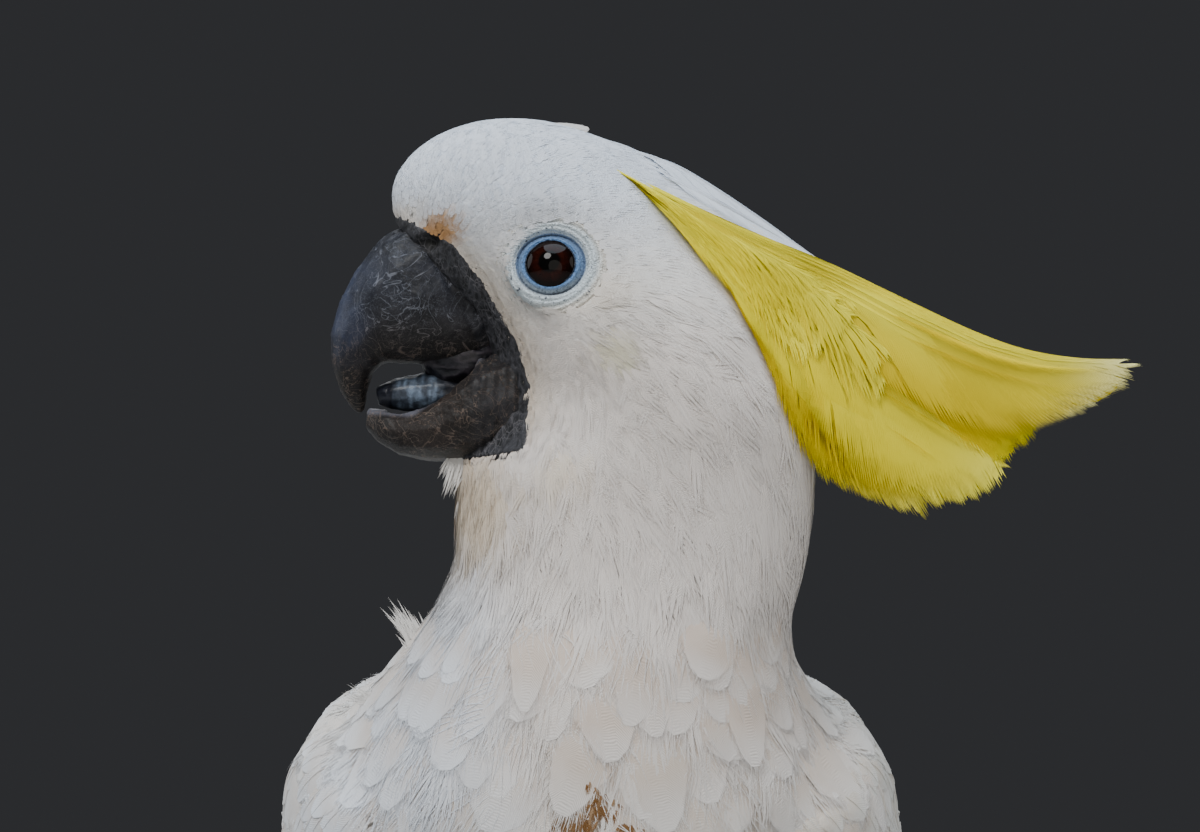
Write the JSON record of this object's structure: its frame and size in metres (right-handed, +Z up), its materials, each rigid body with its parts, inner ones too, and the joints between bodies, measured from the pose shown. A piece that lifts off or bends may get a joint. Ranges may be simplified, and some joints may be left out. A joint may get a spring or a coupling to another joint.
{
  "type": "sulphur-crested cockatoo",
  "caption": "White cockatoo standing as a still model, head turned to its right, dark hooked bill a little open, yellow crest laid back and folded wings.",
  "frame": {"origin": "on the floor under the middle of the bird's bounding box", "axes": "+Z up, the breast faces -Y, the bill points to -X, the crest sweeps back to +X"},
  "size_m": [0.1896, 0.3242, 0.3036],
  "materials": {
    "plumage_white": "soft matt white feathers",
    "plumage_yellow": "soft matt yellow feathers",
    "bill_horn": "dry dark grey horn with pale worn lines",
    "tongue_skin": "moist dark grey skin",
    "cere_skin": "matt black skin under short bristles",
    "eye": "wet gloss, very dark brown with a black pupil",
    "eye_ring_skin": "bare wrinkled skin, pale blue to whitish",
    "foot_skin": "matt dark grey scaly skin",
    "claw_horn": "smooth black horn"
  },
  "bodies": {
    "root": {"head": "plumage_white", "neck": "plumage_white", "trunk": "plumage_white", "crest_white": "plumage_white", "tail_right": "plumage_white", "tail_middle": "plumage_white", "tail_left": "plumage_white", "wing_left_coverts": "plumage_white", "wing_left_secondaries": "plumage_white", "wing_left_primaries": "plumage_white", "wing_right_coverts": "plumage_white", "wing_right_secondaries": "plumage_white", "wing_right_primaries": "plumage_white", "leg_left_thigh": "plumage_white", "leg_right_thigh": "plumage_white", "crest_upper": "plumage_yellow", "crest_middle": "plumage_yellow", "crest_lower": "plumage_yellow", "bill_upper": "bill_horn", "bill_lower": "bill_horn", "tongue": "tongue_skin", "cere": "cere_skin", "eye_left": "eye", "eye_ring_left": "eye_ring_skin", "leg_left_foot": "foot_skin", "claw_left_front_inner": "claw_horn", "claw_left_front_outer": "claw_horn", "claw_left_back_outer": "claw_horn", "claw_left_back_inner": "claw_horn", "eye_right": "eye", "eye_ring_right": "eye_ring_skin", "leg_right_foot": "foot_skin", "claw_right_front_inner": "claw_horn", "claw_right_front_outer": "claw_horn", "claw_right_back_outer": "claw_horn", "claw_right_back_inner": "claw_horn"}
  },
  "joints": []
}
